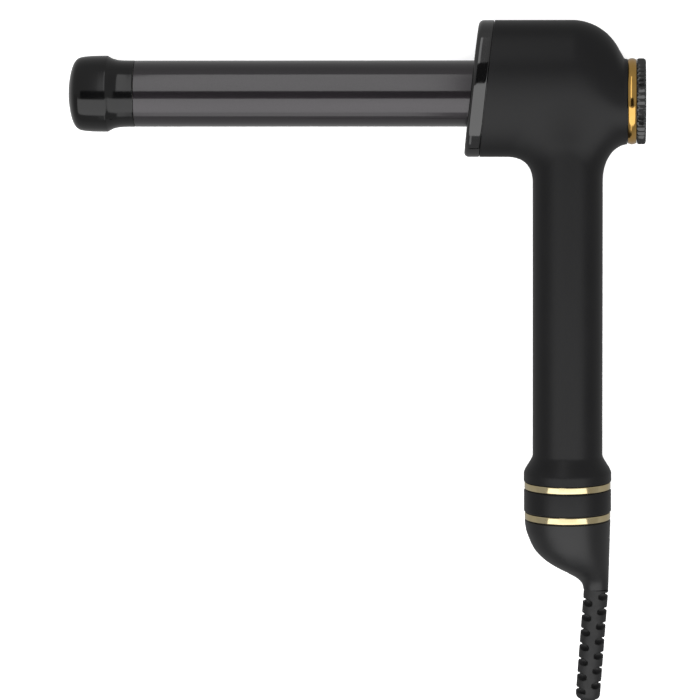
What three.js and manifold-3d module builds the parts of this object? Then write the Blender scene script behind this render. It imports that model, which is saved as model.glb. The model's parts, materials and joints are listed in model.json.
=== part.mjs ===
// Right-angle curling iron, lying on its side: the barrel points along -X, the handle along -Y,
// +Z is up. Lengths are in millimetres. The tool's own axes cross at TOOL_ORIGIN.
import * as THREE from 'three';
import { mergeVertices } from 'three/addons/utils/BufferGeometryUtils.js';
import Module from 'manifold-3d';

const manifold = await Module();
manifold.setup();

// ---- Driving dimensions ----
const GAP = 0.3;
const REST_HEIGHT = 21.3;
const TOOL_ORIGIN = new THREE.Vector3(101.8, 130.8, REST_HEIGHT);

const BARREL_RADIUS = 16;
const BARREL_WALL = 1.1;
const BARREL_START_X = -208.9;
const BARREL_END_X = -31;

const TIP_END_X = -241.2;
const TIP_RADIUS = 18.4;
const TIP_BACK_X = -209.2;

const COLLAR_SLOPE = Math.tan(THREE.MathUtils.degToRad(6.5));
const COLLAR_FRONT_X = -46.7;
const COLLAR_THICKNESS = 7.4;
const COLLAR_EDGE = 2;

const HEAD_TOP = 35.4;
const HEAD_BOTTOM = -30.7;
const HEAD_WIDEST_Y = 11;
const HEAD_HALF_WIDTH = 21.6;
const HEAD_TOP_EXPONENT = 2.2;
const HEAD_BOTTOM_EXPONENT = 1.85;
const WALL = 2.2;

const DIAL_AXIS_Y = -3.8;
const DIAL_RADIUS = 20.75;
const NECK_RADIUS = 20.4;
const NECK_START_X = 27;
const NECK_END_X = 28.6;
const TRIM_START_X = 28.9;
const TRIM_END_X = 32.9;
const DIAL_START_X = 33.2;
const DIAL_END_X = 37.6;
const DIAL_RIDGES = 42;
const HUB_RADIUS = 9;
const BUTTON_RADIUS = 5.2;
const BUTTON_END_X = 37.3;

const HANDLE_RADIUS = 16.95;
const HANDLE_TOP_Y = -16;
const HANDLE_END_Y = -188.8;
const FLARE_START_Y = -176.2;
const FLARE_END_Y = -184.6;
const FLARE_RADIUS = REST_HEIGHT;
const FRONT_FILLET = 10.3;
const BACK_FILLET = 12.5;

const UPPER_TRIM_Y = [-192.5, -189.1];
const BAND_Y = [-203.7, -192.8];
const LOWER_TRIM_Y = [-207.4, -204];
const RING_BORE = 14.5;

const CAP_TOP_Y = -207.7;
const CAP_RADIUS = 20.9;
const CAP_END_Y = -242;
const CAP_END_BACK_X = 19.95;
const RELIEF_TOP = new THREE.Vector2(13.95, -242.8);
const RELIEF_END_Y = -297;
const RELIEF_LEAN = THREE.MathUtils.degToRad(4.3);
const RELIEF_RADIUS = 6;

const SOCKET_RADIUS = 14.1;
const SOCKET_BORE = 11.5;
const CORE_RADIUS = 6;

const CORD_DIAMETER = 6.5;
const COIL_CENTRE = new THREE.Vector2(62.35, -292);
const COIL_MID_RADIUS = 36.75;
const PLUG_CENTRE_Y = -336;
const PLUG_HALF_HEIGHT = 7;

const ROUND = 40;
const SMALL_ROUND = 16;

// ---- Materials ----
function finish(color, roughness, metalness) {
  return new THREE.MeshStandardMaterial({ color, roughness, metalness });
}
const softBlack = finish(0x2e2e30, 0.7, 0);
const glossBlack = finish(0x0c0c0d, 0.12, 0);
const gunmetal = finish(0x66646a, 0.35, 0.9);
const gold = finish(0xe9b95c, 0.2, 1);
const rubberBlack = finish(0x3a3a3a, 0.8, 0);
const innerPlastic = finish(0xd8d4c8, 0.6, 0);
const steel = finish(0xb8babd, 0.35, 1);
const aluminium = finish(0x9a9c9f, 0.4, 0.9);
const copper = finish(0xb87545, 0.35, 1);
const ceramic = finish(0xe8e4da, 0.8, 0);
const boardGreen = finish(0x1f5a38, 0.6, 0);
const leadRed = finish(0xa02a24, 0.6, 0);
const leadWhite = finish(0xe6e6e2, 0.6, 0);

// ---- Shape helpers ----
const tool = new THREE.Group();
tool.position.copy(TOOL_ORIGIN);
const model = new THREE.Group();
model.add(tool);

function addPart(name, geometry, material, parent = tool) {
  const mesh = new THREE.Mesh(geometry, material);
  mesh.name = name;
  parent.add(mesh);
  return mesh;
}

function bare(geometry) {
  const plain = geometry.clone();
  plain.deleteAttribute('normal');
  plain.deleteAttribute('uv');
  return mergeVertices(plain, 1e-4);
}

function signedVolume(geometry) {
  const p = geometry.attributes.position;
  const index = geometry.index.array;
  const [a, b, c] = [new THREE.Vector3(), new THREE.Vector3(), new THREE.Vector3()];
  let volume = 0;
  for (let i = 0; i < index.length; i += 3) {
    a.fromBufferAttribute(p, index[i]);
    b.fromBufferAttribute(p, index[i + 1]);
    c.fromBufferAttribute(p, index[i + 2]);
    volume += a.dot(b.cross(c)) / 6;
  }
  return volume;
}

// Turns the faces outward where a closed shape was drawn inside out.
function outward(geometry) {
  const closed = bare(geometry);
  if (signedVolume(closed) < 0) {
    closed.index.array.reverse();
  }
  return closed;
}

function solidOf(geometry) {
  const closed = outward(geometry);
  const vertProperties = new Float32Array(closed.attributes.position.array);
  const triVerts = new Uint32Array(closed.index.array);
  return new manifold.Manifold(new manifold.Mesh({ numProp: 3, vertProperties, triVerts }));
}

function geometryOf(solid) {
  const mesh = solid.getMesh();
  const geometry = new THREE.BufferGeometry();
  geometry.setAttribute('position', new THREE.BufferAttribute(mesh.vertProperties, 3));
  geometry.setIndex(new THREE.BufferAttribute(mesh.triVerts, 1));
  return geometry;
}

function cut(geometry, ...cutters) {
  let solid = solidOf(geometry);
  for (const cutter of cutters) {
    solid = solid.subtract(solidOf(cutter));
  }
  return geometryOf(solid);
}

// A body of revolution about an axis parallel to X: points are [x, radius].
function latheX(points, y = 0, segments = ROUND) {
  const profile = points.map(([x, radius]) => new THREE.Vector2(radius, x));
  return outward(new THREE.LatheGeometry(profile, segments).rotateZ(-Math.PI / 2).translate(0, y, 0));
}

// A body of revolution about an axis parallel to Y: points are [y, radius].
function latheY(points, segments = ROUND) {
  const profile = points.map(([y, radius]) => new THREE.Vector2(radius, y));
  return outward(new THREE.LatheGeometry(profile, segments));
}

function ring(start, end, inner, outer) {
  return [[start, inner], [start, outer], [end, outer], [end, inner], [start, inner]];
}

function rodX(x0, x1, radius, y = 0, z = 0, segments = SMALL_ROUND) {
  const rod = new THREE.CylinderGeometry(radius, radius, x1 - x0, segments);
  return rod.rotateZ(Math.PI / 2).translate((x0 + x1) / 2, y, z);
}

function rodZ(z0, z1, radius, x, y, segments = SMALL_ROUND) {
  const rod = new THREE.CylinderGeometry(radius, radius, z1 - z0, segments);
  return rod.rotateX(Math.PI / 2).translate(x, y, (z0 + z1) / 2);
}

function box(x0, x1, y0, y1, z0, z1) {
  const block = new THREE.BoxGeometry(x1 - x0, y1 - y0, z1 - z0);
  return block.translate((x0 + x1) / 2, (y0 + y1) / 2, (z0 + z1) / 2);
}

function tube(path, radius, steps, sides = 8) {
  const section = new THREE.Shape().absarc(0, 0, radius, 0, 2 * Math.PI);
  const options = { extrudePath: path, steps, curveSegments: sides / 2, bevelEnabled: false };
  return outward(new THREE.ExtrudeGeometry(section, options));
}

function curveThrough(points) {
  return new THREE.CatmullRomCurve3(points.map((point) => new THREE.Vector3(...point)));
}

// A closed loft: a cylinder whose rows move to the given stations. place(station, across, up)
// gives the point of a row in the direction (across, up), or the row's middle for (0, 0).
function loft(stations, segments, place) {
  const rows = stations.length - 1;
  const geometry = new THREE.CylinderGeometry(1, 1, rows, segments, rows);
  const p = geometry.attributes.position;
  for (let i = 0; i < p.count; i += 1) {
    const row = Math.round(p.getY(i) + rows / 2);
    p.setXYZ(i, ...place(stations[row], p.getX(i), p.getZ(i)));
  }
  return outward(geometry);
}

function power(value, exponent) {
  return Math.sign(value) * Math.abs(value) ** exponent;
}

// ---- Head and handle outlines ----
const headTopCurve = new THREE.SplineCurve([
  new THREE.Vector2(2, HEAD_TOP),
  new THREE.Vector2(10.6, 33.9),
  new THREE.Vector2(17.8, 29.6),
  new THREE.Vector2(22.6, 24.8),
  new THREE.Vector2(NECK_START_X, DIAL_AXIS_Y + NECK_RADIUS),
]);

function headSection(x, top, inset) {
  const t = THREE.MathUtils.clamp((x - 2) / (NECK_START_X - 2), 0, 1);
  const mix = THREE.MathUtils.lerp;
  return {
    x: x - 0.7 * inset * t,
    top: top - inset,
    bottom: mix(HEAD_BOTTOM, DIAL_AXIS_Y - NECK_RADIUS, t) + inset,
    widest: mix(HEAD_WIDEST_Y, DIAL_AXIS_Y, t),
    halfWidth: mix(HEAD_HALF_WIDTH, NECK_RADIUS, t) - inset,
    topExponent: mix(HEAD_TOP_EXPONENT, 2, t),
    bottomExponent: mix(HEAD_BOTTOM_EXPONENT, 2, t),
  };
}

// The section is an egg: widest above its middle and narrower towards the handle.
function eggPoint(section, across, up) {
  const rise = up > 0 ? section.top - section.widest : section.widest - section.bottom;
  const exponent = up > 0 ? section.topExponent : section.bottomExponent;
  const y = section.widest + rise * power(up, 2 / exponent);
  const z = section.halfWidth * power(across, 2 / exponent);
  return [section.x, y, z];
}

function headBody(inset, startX, endX) {
  const curved = headTopCurve.getPoints(7).map((point) => headSection(point.x, point.y, inset));
  const start = headSection(startX, HEAD_TOP, inset);
  const end = headSection(endX, DIAL_AXIS_Y + NECK_RADIUS, inset);
  return loft([start, ...curved, end], ROUND, eggPoint);
}

// The handle is round; near the head its front and back sweep out as quarter-circle fillets.
function handleStation(y, inset) {
  let radius = HANDLE_RADIUS;
  if (y < FLARE_START_Y) {
    const t = (FLARE_START_Y - y) / (FLARE_START_Y - FLARE_END_Y);
    const eased = (THREE.MathUtils.clamp(t, 0, 1) + THREE.MathUtils.smoothstep(t, 0, 1)) / 2;
    radius = THREE.MathUtils.lerp(HANDLE_RADIUS, FLARE_RADIUS, eased);
  }
  const sweep = (fillet) => {
    const rise = THREE.MathUtils.clamp(y - (HEAD_BOTTOM - fillet), 0, fillet * 0.96);
    return y > HEAD_BOTTOM ? 0 : fillet - Math.sqrt(fillet ** 2 - rise ** 2);
  };
  const fillets = inset > 0 ? [0, 0] : [sweep(FRONT_FILLET), sweep(BACK_FILLET)];
  return { y, radius: radius - inset, front: fillets[0], back: fillets[1] };
}

function handlePoint(station, x, z) {
  const spread = x > 0 ? station.back : station.front;
  return [x * (station.radius + spread), station.y, z * station.radius];
}

function handleBody(inset, topY, endY) {
  const fillets = inset > 0 ? [] : [HEAD_BOTTOM - BACK_FILLET, -40, -37, -34.5, -32.5, HEAD_BOTTOM];
  const flare = [FLARE_END_Y, -182, -180, -178, FLARE_START_Y];
  const heights = [endY, ...flare, ...fillets, topY];
  return loft(heights.map((y) => handleStation(y, inset)), ROUND, handlePoint);
}

// The collar leans back at its top: a plane at a distance behind its front leans with it.
const leanMatrix = new THREE.Matrix4().set(
  1, COLLAR_SLOPE, 0, COLLAR_FRONT_X,
  0, 1, 0, 0,
  0, 0, 1, 0,
  0, 0, 0, 1,
);

function leaningSlab(a, b, size = 120) {
  return box(a, b, -size / 2, size / 2, -size / 2, size / 2).applyMatrix4(leanMatrix);
}

// An egg-shaped plate parallel to the collar, its front face at distance a behind the collar's front.
function leaningPlate(a, thickness, inset, edge = 0) {
  const section = headSection(0, HEAD_TOP, inset + edge);
  const outline = new THREE.Shape();
  for (let i = 0; i < ROUND; i += 1) {
    const angle = (2 * Math.PI * i) / ROUND;
    const [, y, z] = eggPoint(section, Math.sin(angle), Math.cos(angle));
    if (i === 0) {
      outline.moveTo(-z, y);
    } else {
      outline.lineTo(-z, y);
    }
  }
  const bevel = { bevelEnabled: edge > 0, bevelSize: edge, bevelThickness: edge, bevelSegments: 2 };
  const options = { depth: thickness - 2 * edge, ...bevel };
  const plate = new THREE.ExtrudeGeometry(outline, options).translate(0, 0, a + edge);
  return outward(plate.rotateY(Math.PI / 2).applyMatrix4(leanMatrix));
}

// A rod along X that starts and ends at distances behind the collar's front.
function rodBehindCollar(a, b, radius, y, z) {
  const front = COLLAR_FRONT_X + y * COLLAR_SLOPE;
  return rodX(front + a, front + b, radius, y, z, 12);
}

const FLANGE_SCREWS = [[21.5, 9], [21.5, -9], [-19, 5], [-19, -5]];
const HOUSING_SCREWS = [[-22, 27], [12, 24], [0, -75], [0, -150]];
const HOUSING_FRONT = COLLAR_THICKNESS + 0.6;
const FRONT_WALL_BACK = HOUSING_FRONT + 2.5;
const FLANGE_BACK = FRONT_WALL_BACK + GAP + 3;

// ---- Housing halves ----
function housingShell() {
  const outer = solidOf(headBody(0, -62, NECK_END_X)).add(solidOf(handleBody(0, HANDLE_TOP_Y, HANDLE_END_Y)));
  const cavity = solidOf(headBody(WALL, -62, NECK_END_X - WALL));
  const boredHandle = solidOf(handleBody(WALL, HANDLE_TOP_Y + 8, HANDLE_END_Y - 5));
  const hollow = cavity.subtract(solidOf(leaningSlab(-60, FRONT_WALL_BACK))).add(boredHandle);
  let shell = outer.subtract(hollow).subtract(solidOf(leaningSlab(-60, HOUSING_FRONT)));
  for (const [x, y] of HOUSING_SCREWS) {
    const boss = solidOf(rodZ(-30, 30, 3.6, x, y, 16)).intersect(outer);
    shell = shell.add(boss);
    shell = shell.subtract(solidOf(rodZ(-25, 10, 1.7, x, y, 12)));
    shell = shell.subtract(solidOf(rodZ(-25, -11, 3, x, y, 16)));
  }
  for (const [y, z] of FLANGE_SCREWS) {
    shell = shell.subtract(solidOf(rodBehindCollar(-2, FLANGE_BACK, 1.8, y, z)));
  }
  shell = shell.subtract(solidOf(rodX(-60, -20, BARREL_RADIUS + GAP, 0, 0, ROUND)));
  return shell.subtract(solidOf(rodX(20, 32, HUB_RADIUS + GAP, DIAL_AXIS_Y, 0, 32)));
}

const shell = housingShell();
const frontSpace = solidOf(box(-80, 60, -220, 60, GAP / 2, 40));
const rearSpace = solidOf(box(-80, 60, -220, 60, -REST_HEIGHT, -GAP / 2));
addPart('housing_front', geometryOf(shell.intersect(frontSpace)), softBlack);
addPart('housing_rear', geometryOf(shell.intersect(rearSpace)), softBlack);

HOUSING_SCREWS.forEach(([x, y], i) => {
  const head = solidOf(rodZ(-13.2, -11.3, 2.6, x, y, 16));
  const screw = head.add(solidOf(rodZ(-11.4, 8, 1.3, x, y, 12)));
  addPart(`housing_screw_${i + 1}`, geometryOf(screw), steel);
});

// ---- Barrel, tip and heater ----
function barrelTube() {
  const inner = BARREL_RADIUS - BARREL_WALL;
  return latheX(ring(BARREL_START_X, BARREL_END_X, inner, BARREL_RADIUS), 0, 48);
}

function coolTip() {
  const nose = TIP_END_X + 1.2;
  const bore = BARREL_RADIUS - BARREL_WALL;
  return latheX([
    [TIP_END_X, 0],
    [TIP_END_X + 0.2, 9],
    [nose, 14],
    [TIP_END_X + 2.7, 16.4],
    [TIP_END_X + 5, 17.7],
    [TIP_END_X + 8.5, 18.25],
    [TIP_END_X + 13, TIP_RADIUS],
    [TIP_END_X + 19.5, TIP_RADIUS],
    [TIP_END_X + 22, 17.8],
    [TIP_END_X + 24.5, 16.6],
    [TIP_END_X + 26.5, BARREL_RADIUS],
    [TIP_BACK_X, BARREL_RADIUS],
    [TIP_BACK_X, bore],
    [TIP_END_X + 6, bore],
    [TIP_END_X + 6, 0],
  ], 0, 48);
}

function tipInsert() {
  const radius = BARREL_RADIUS - BARREL_WALL - GAP;
  return latheX(ring(TIP_END_X + 7, -199, 3, radius), 0, 32);
}

// A half-round clamp that presses the flat heater against the inside of the barrel.
function heaterClamp(side) {
  const radius = BARREL_RADIUS - BARREL_WALL - GAP;
  const start = Math.asin(4.4 / radius);
  const outline = new THREE.Shape().absarc(0, 0, radius, start, Math.PI - start);
  const clamp = new THREE.ExtrudeGeometry(outline, { depth: 118, bevelEnabled: false, curveSegments: 10 });
  const turned = clamp.rotateY(Math.PI / 2).translate(-195, 0, 0);
  return outward(side > 0 ? turned : turned.rotateX(Math.PI));
}

addPart('barrel_tube', barrelTube(), gunmetal);
addPart('cool_tip_cap', coolTip(), glossBlack);
addPart('tip_insert', tipInsert(), innerPlastic);
addPart('heater_element', box(-195, -77, -4, 4, -8, 8), ceramic);
addPart('heater_clamp_upper', heaterClamp(1), aluminium);
addPart('heater_clamp_lower', heaterClamp(-1), aluminium);
addPart('thermistor', rodX(-73, -67, 1.6, 6, 0), ceramic);
addPart('thermal_fuse', rodX(-74, -60, 2.2, -6, 0), steel);

// ---- Collar, barrel flange and heat shield ----
const underside = box(-80, 60, -80, 60, -40, -REST_HEIGHT);

function frontCollar() {
  const pilots = FLANGE_SCREWS.map(([y, z]) => rodBehindCollar(3, COLLAR_THICKNESS + 1, 1.8, y, z));
  const hole = rodX(-60, -30, BARREL_RADIUS + GAP, 0, 0, 48);
  return cut(leaningPlate(0, COLLAR_THICKNESS, 0, COLLAR_EDGE), hole, underside, ...pilots);
}

function barrelFlange() {
  const holes = FLANGE_SCREWS.map(([y, z]) => rodBehindCollar(-2, 30, 1.8, y, z));
  const hole = rodX(-60, -20, BARREL_RADIUS + GAP, 0, 0, ROUND);
  return cut(leaningPlate(FRONT_WALL_BACK + GAP, 3 - GAP, WALL + 1), hole, ...holes);
}

addPart('front_collar', frontCollar(), glossBlack);
addPart('barrel_flange', barrelFlange(), aluminium);
FLANGE_SCREWS.forEach(([y, z], i) => {
  const head = solidOf(rodBehindCollar(FLANGE_BACK + GAP, FLANGE_BACK + 2.3, 2.9, y, z));
  const screw = head.add(solidOf(rodBehindCollar(3.5, FLANGE_BACK + 0.5, 1.4, y, z)));
  addPart(`flange_screw_${i + 1}`, geometryOf(screw), steel);
});
const leadHoles = [4, -4].map((z) => rodX(-40, -20, 1.6, 0, z));
const shield = rodX(BARREL_END_X + GAP, BARREL_END_X + 1.8, 17, 0, 0, 40);
addPart('heat_shield', cut(shield, ...leadHoles), ceramic);

// ---- Rear dial ----
function dialKnob() {
  const outline = new THREE.Shape();
  const steps = DIAL_RIDGES * 4;
  for (let i = 0; i < steps; i += 1) {
    const angle = (2 * Math.PI * i) / steps;
    const radius = i % 4 < 2 ? DIAL_RADIUS : DIAL_RADIUS - 0.7;
    if (i === 0) {
      outline.moveTo(radius, 0);
    } else {
      outline.lineTo(radius * Math.cos(angle), radius * Math.sin(angle));
    }
  }
  outline.holes.push(new THREE.Path().absarc(0, 0, HUB_RADIUS + GAP, 0, 2 * Math.PI));
  const depth = DIAL_END_X - DIAL_START_X;
  const knob = new THREE.ExtrudeGeometry(outline, { depth, bevelEnabled: false, curveSegments: 16 });
  return outward(knob.rotateY(Math.PI / 2).translate(DIAL_START_X, DIAL_AXIS_Y, 0));
}

addPart('temperature_dial', dialKnob(), softBlack);
addPart('dial_trim_ring', latheX(ring(TRIM_START_X, TRIM_END_X, HUB_RADIUS + GAP, DIAL_RADIUS), DIAL_AXIS_Y), gold);
const hubBore = BUTTON_RADIUS + GAP;
addPart('dial_hub', latheX(ring(20, DIAL_END_X - 0.4, hubBore, HUB_RADIUS), DIAL_AXIS_Y, 24), glossBlack);
addPart('dial_sensor', latheX(ring(20.5, 24.4, HUB_RADIUS + GAP, 13), DIAL_AXIS_Y, 24), boardGreen);
addPart('power_button', latheX([
  [25, 0],
  [25, 2],
  [32, 2],
  [32, BUTTON_RADIUS],
  [BUTTON_END_X - 0.5, BUTTON_RADIUS],
  [BUTTON_END_X, BUTTON_RADIUS - 0.6],
  [BUTTON_END_X, 0],
], DIAL_AXIS_Y, 24), gold);
addPart('button_switch', box(18, 22.5, DIAL_AXIS_Y - 3, DIAL_AXIS_Y + 3, -3, 3), innerPlastic);

// ---- Electronics in the head ----
addPart('control_board', box(-20, 14, -8, 20, -10.6, -9), boardGreen);
addPart('relay', box(-16, 0, -4, 8, -8.7, 0), innerPlastic);
addPart('capacitor', rodZ(-8.7, 4, 4, 8, 12), steel);
[4, -4].forEach((z, i) => {
  const path = curveThrough([[-58, 0, z], [-40, 0, z], [-29, 0, z], [-24, 8, z - 1], [-18, 14 + z / 2, -8]]);
  addPart(`heater_lead_${i + 1}`, tube(path, 1, 16, 6), i === 0 ? leadRed : leadWhite);
});

// ---- Rings, band and cord swivel at the end of the handle ----
function trim(name, [low, high], radius, material) {
  addPart(name, latheY(ring(low, high, RING_BORE, radius), 48), material);
}

trim('upper_trim_ring', UPPER_TRIM_Y, FLARE_RADIUS, gold);
trim('grip_band', BAND_Y, FLARE_RADIUS - 0.1, softBlack);
trim('lower_trim_ring', LOWER_TRIM_Y, FLARE_RADIUS - 0.3, gold);

addPart('swivel_socket', latheY([
  [-207.2, SOCKET_BORE],
  [-207.2, SOCKET_RADIUS],
  [-188.6, SOCKET_RADIUS],
  [-188.6, 18],
  [-185.5, 18],
  [-185.5, SOCKET_RADIUS],
  [-170, SOCKET_RADIUS],
  [-170, SOCKET_BORE],
  [-207.2, SOCKET_BORE],
]), innerPlastic);
addPart('swivel_bush', latheY(ring(-206.5, -198, CORE_RADIUS + 0.4, SOCKET_BORE - GAP), 32), innerPlastic);
addPart('swivel_core', latheY([
  [-211, 2.6],
  [-211, 13.5],
  [-208.2, 13.5],
  [-208.2, CORE_RADIUS],
  [-164, CORE_RADIUS],
  [-164, 2.6],
  [-211, 2.6],
], 32), innerPlastic);
addPart('swivel_clip', latheY(ring(-168.5, -166.5, CORE_RADIUS + GAP, 12), 24), steel);
[-178, -186].forEach((y, i) => {
  addPart(`slip_ring_${i + 1}`, latheY(ring(y - 1.5, y + 1.5, CORE_RADIUS + GAP, 8.5), 32), copper);
  addPart(`brush_contact_${i + 1}`, box(9, 11, y - 1.5, y + 1.5, -1.5, 1.5), copper);
});
[-1, 1].forEach((side, i) => {
  const path = curveThrough([
    [9.5 * side, -165.8, 6], [8 * side, -150, 6], [8 * side, -100, 6], [7 * side, -40, 5], [6 * side, -12, -4],
  ]);
  addPart(`handle_lead_${i + 1}`, tube(path, 1, 16, 6), side < 0 ? leadRed : leadWhite);
});

// The cap closes to the back of the handle, where the strain relief leaves it.
function capStations(inset) {
  const front = new THREE.SplineCurve([
    new THREE.Vector2(-CAP_RADIUS, CAP_TOP_Y),
    new THREE.Vector2(-19.6, -215),
    new THREE.Vector2(-16.3, -222),
    new THREE.Vector2(-6, -230.9),
    new THREE.Vector2(4.6, -236.6),
    new THREE.Vector2(7.8, CAP_END_Y),
  ]);
  return front.getPoints(8).reverse().map((point) => {
    const t = (CAP_TOP_Y - point.y) / (CAP_TOP_Y - CAP_END_Y);
    const back = THREE.MathUtils.lerp(CAP_RADIUS, CAP_END_BACK_X, t);
    const radius = (back - point.x) / 2;
    return { y: point.y, centre: (back + point.x) / 2, radius: Math.max(radius - inset, 1) };
  });
}

function capPoint(station, x, z) {
  return [station.centre + x * station.radius, station.y, z * station.radius];
}

function tailCap() {
  const hollow = capStations(WALL).slice(2);
  hollow.push({ ...hollow[hollow.length - 1], y: CAP_TOP_Y + 1 });
  const cordHole = new THREE.CylinderGeometry(4.3, 4.3, 18, SMALL_ROUND);
  cordHole.rotateZ(-RELIEF_LEAN).translate(RELIEF_TOP.x, CAP_END_Y, 0);
  return cut(loft(capStations(0), ROUND, capPoint), loft(hollow, ROUND, capPoint), cordHole);
}

function strainRelief() {
  const length = RELIEF_TOP.y - RELIEF_END_Y;
  const bore = CORD_DIAMETER / 2 - 0.9;
  const profile = latheY([
    [-length + 0.4, bore],
    [-length + 0.4, 4.3],
    [-length + 2.4, RELIEF_RADIUS - 0.2],
    [-4, RELIEF_RADIUS],
    [0, RELIEF_RADIUS],
    [0, 4],
    [6, 4],
    [6, bore],
    [-length + 0.4, bore],
  ], 32);
  return profile.rotateZ(-RELIEF_LEAN).translate(RELIEF_TOP.x, RELIEF_TOP.y, 0);
}

addPart('tail_cap', tailCap(), softBlack);
addPart('strain_relief', strainRelief(), rubberBlack);

// ---- Cord, put away in a tied coil on the surface, and its plug ----
const CORD_LEAD = [
  [111.6, -166.6, 21.3],
  [111, -180, 21.1],
  [109.9, -194, 19.4],
  [108.7, -208, 15.6],
  [107.4, -222, 10.6],
  [106.3, -236, 6.2],
  [105.7, -249, 3.8],
  [105.6, -260.6, 3.3],
];
const CORD_END = [
  [30, -335.3, 12.6],
  [22, -335.4, 10.3],
  [13, -335.6, 8.3],
  [4, -335.8, 7.2],
  [-4, PLUG_CENTRE_Y, 7],
];

function coilRing() {
  const layer = (CORD_DIAMETER * Math.sqrt(3)) / 2;
  const half = 2 * CORD_DIAMETER;
  const height = CORD_DIAMETER + 2 * layer;
  const low = height / 3;
  const profile = [
    [COIL_MID_RADIUS - half + CORD_DIAMETER / 2, 0],
    [COIL_MID_RADIUS + half - CORD_DIAMETER / 2, 0],
    [COIL_MID_RADIUS + half, low],
    [COIL_MID_RADIUS + half, height - low],
    [COIL_MID_RADIUS + half - CORD_DIAMETER / 2, height],
    [COIL_MID_RADIUS - half + CORD_DIAMETER / 2, height],
    [COIL_MID_RADIUS - half, height - low],
    [COIL_MID_RADIUS - half, low],
    [COIL_MID_RADIUS - half + CORD_DIAMETER / 2, 0],
  ].map(([radius, z]) => new THREE.Vector2(radius, z));
  const spun = new THREE.LatheGeometry(profile, 32).rotateX(Math.PI / 2);
  return outward(spun.translate(COIL_CENTRE.x, COIL_CENTRE.y, 0));
}

// A strap over the coil's inside, top and outside, at the side away from the plug.
function coilTie() {
  const height = CORD_DIAMETER * (1 + Math.sqrt(3));
  const inner = COIL_MID_RADIUS - 2 * CORD_DIAMETER - 2 * GAP;
  const outer = COIL_MID_RADIUS + 2 * CORD_DIAMETER + 2 * GAP;
  const strap = solidOf(box(inner - 1.2, outer + 1.2, -4, 4, 0.6, height + 1.5));
  const tie = strap.subtract(solidOf(box(inner, outer, -5, 5, -1, height + GAP)));
  const placed = geometryOf(tie).rotateZ(THREE.MathUtils.degToRad(125));
  return placed.translate(COIL_CENTRE.x, COIL_CENTRE.y, 0);
}

function plugBody() {
  const stations = [
    { x: -51, width: 12, height: 6.4 },
    { x: -49.5, width: 12.6, height: PLUG_HALF_HEIGHT },
    { x: -34, width: 12.2, height: PLUG_HALF_HEIGHT },
    { x: -25, width: 8.6, height: 6 },
    { x: -20, width: 5.2, height: 5 },
    { x: -6, width: 4, height: 4 },
  ];
  const point = (station, across, up) => [
    station.x,
    PLUG_CENTRE_Y + station.width * power(up, 0.7),
    PLUG_HALF_HEIGHT + station.height * power(across, 0.7),
  ];
  const cordHole = rodX(-12, -2, CORD_DIAMETER / 2 + GAP, PLUG_CENTRE_Y, PLUG_HALF_HEIGHT);
  return cut(loft(stations, 28, point), cordHole);
}

addPart('cord_lead', tube(curveThrough(CORD_LEAD), CORD_DIAMETER / 2, 24), rubberBlack, model);
addPart('cord_coil', coilRing(), rubberBlack, model);
addPart('cord_end', tube(curveThrough(CORD_END), CORD_DIAMETER / 2, 8), rubberBlack, model);
addPart('coil_tie', coilTie(), softBlack, model);
addPart('plug_body', plugBody(), rubberBlack, model);
[6.35, -6.35].forEach((offset, i) => {
  const y = PLUG_CENTRE_Y + offset;
  addPart(`plug_blade_${i + 1}`, box(-68.5, -51.3, y - 0.75, y + 0.75, 3.8, 10.2), steel, model);
});

export default model;
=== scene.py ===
"""Looks of the right-angle curling iron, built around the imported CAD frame.

Lengths in the shape code are millimetres from the crossing of the barrel's and the handle's axes:
X runs from the tip to the dial, Y from the cord to the head, Z up from the table.
"""
import json
import math

import bmesh
import bpy
import numpy as np
from mathutils import Matrix, Vector


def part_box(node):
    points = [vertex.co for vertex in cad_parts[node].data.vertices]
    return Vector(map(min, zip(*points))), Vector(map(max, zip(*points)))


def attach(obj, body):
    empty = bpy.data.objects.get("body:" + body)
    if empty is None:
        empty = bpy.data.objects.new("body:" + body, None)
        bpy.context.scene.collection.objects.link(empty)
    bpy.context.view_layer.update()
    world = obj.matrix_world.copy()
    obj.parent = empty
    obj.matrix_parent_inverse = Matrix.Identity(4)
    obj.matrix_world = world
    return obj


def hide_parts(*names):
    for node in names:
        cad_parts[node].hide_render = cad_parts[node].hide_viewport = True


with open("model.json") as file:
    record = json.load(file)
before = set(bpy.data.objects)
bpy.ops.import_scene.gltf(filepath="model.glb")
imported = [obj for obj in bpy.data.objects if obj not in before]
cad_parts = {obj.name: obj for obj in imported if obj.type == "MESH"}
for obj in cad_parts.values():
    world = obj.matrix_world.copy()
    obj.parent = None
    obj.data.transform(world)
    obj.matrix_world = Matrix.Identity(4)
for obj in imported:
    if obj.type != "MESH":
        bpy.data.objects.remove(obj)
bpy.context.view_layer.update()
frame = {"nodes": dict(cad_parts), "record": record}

MM = 0.001
barrel_low, barrel_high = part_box("barrel_tube")
band_low, band_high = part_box("grip_band")
CROSSING = Vector((
    (band_low.x + band_high.x) / 2,
    (barrel_low.y + barrel_high.y) / 2,
    (barrel_low.z + barrel_high.z) / 2,
))
REST_Z = -CROSSING.z / MM


# ---- Camera ----
CAMERA_PLACE = (14.75, 213.27, 2560.66)
CAMERA_YAW = 0.04698
CAMERA_PITCH = -0.13115
CAMERA_ROLL = -0.0045
CAMERA_LENS = 273.7


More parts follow.
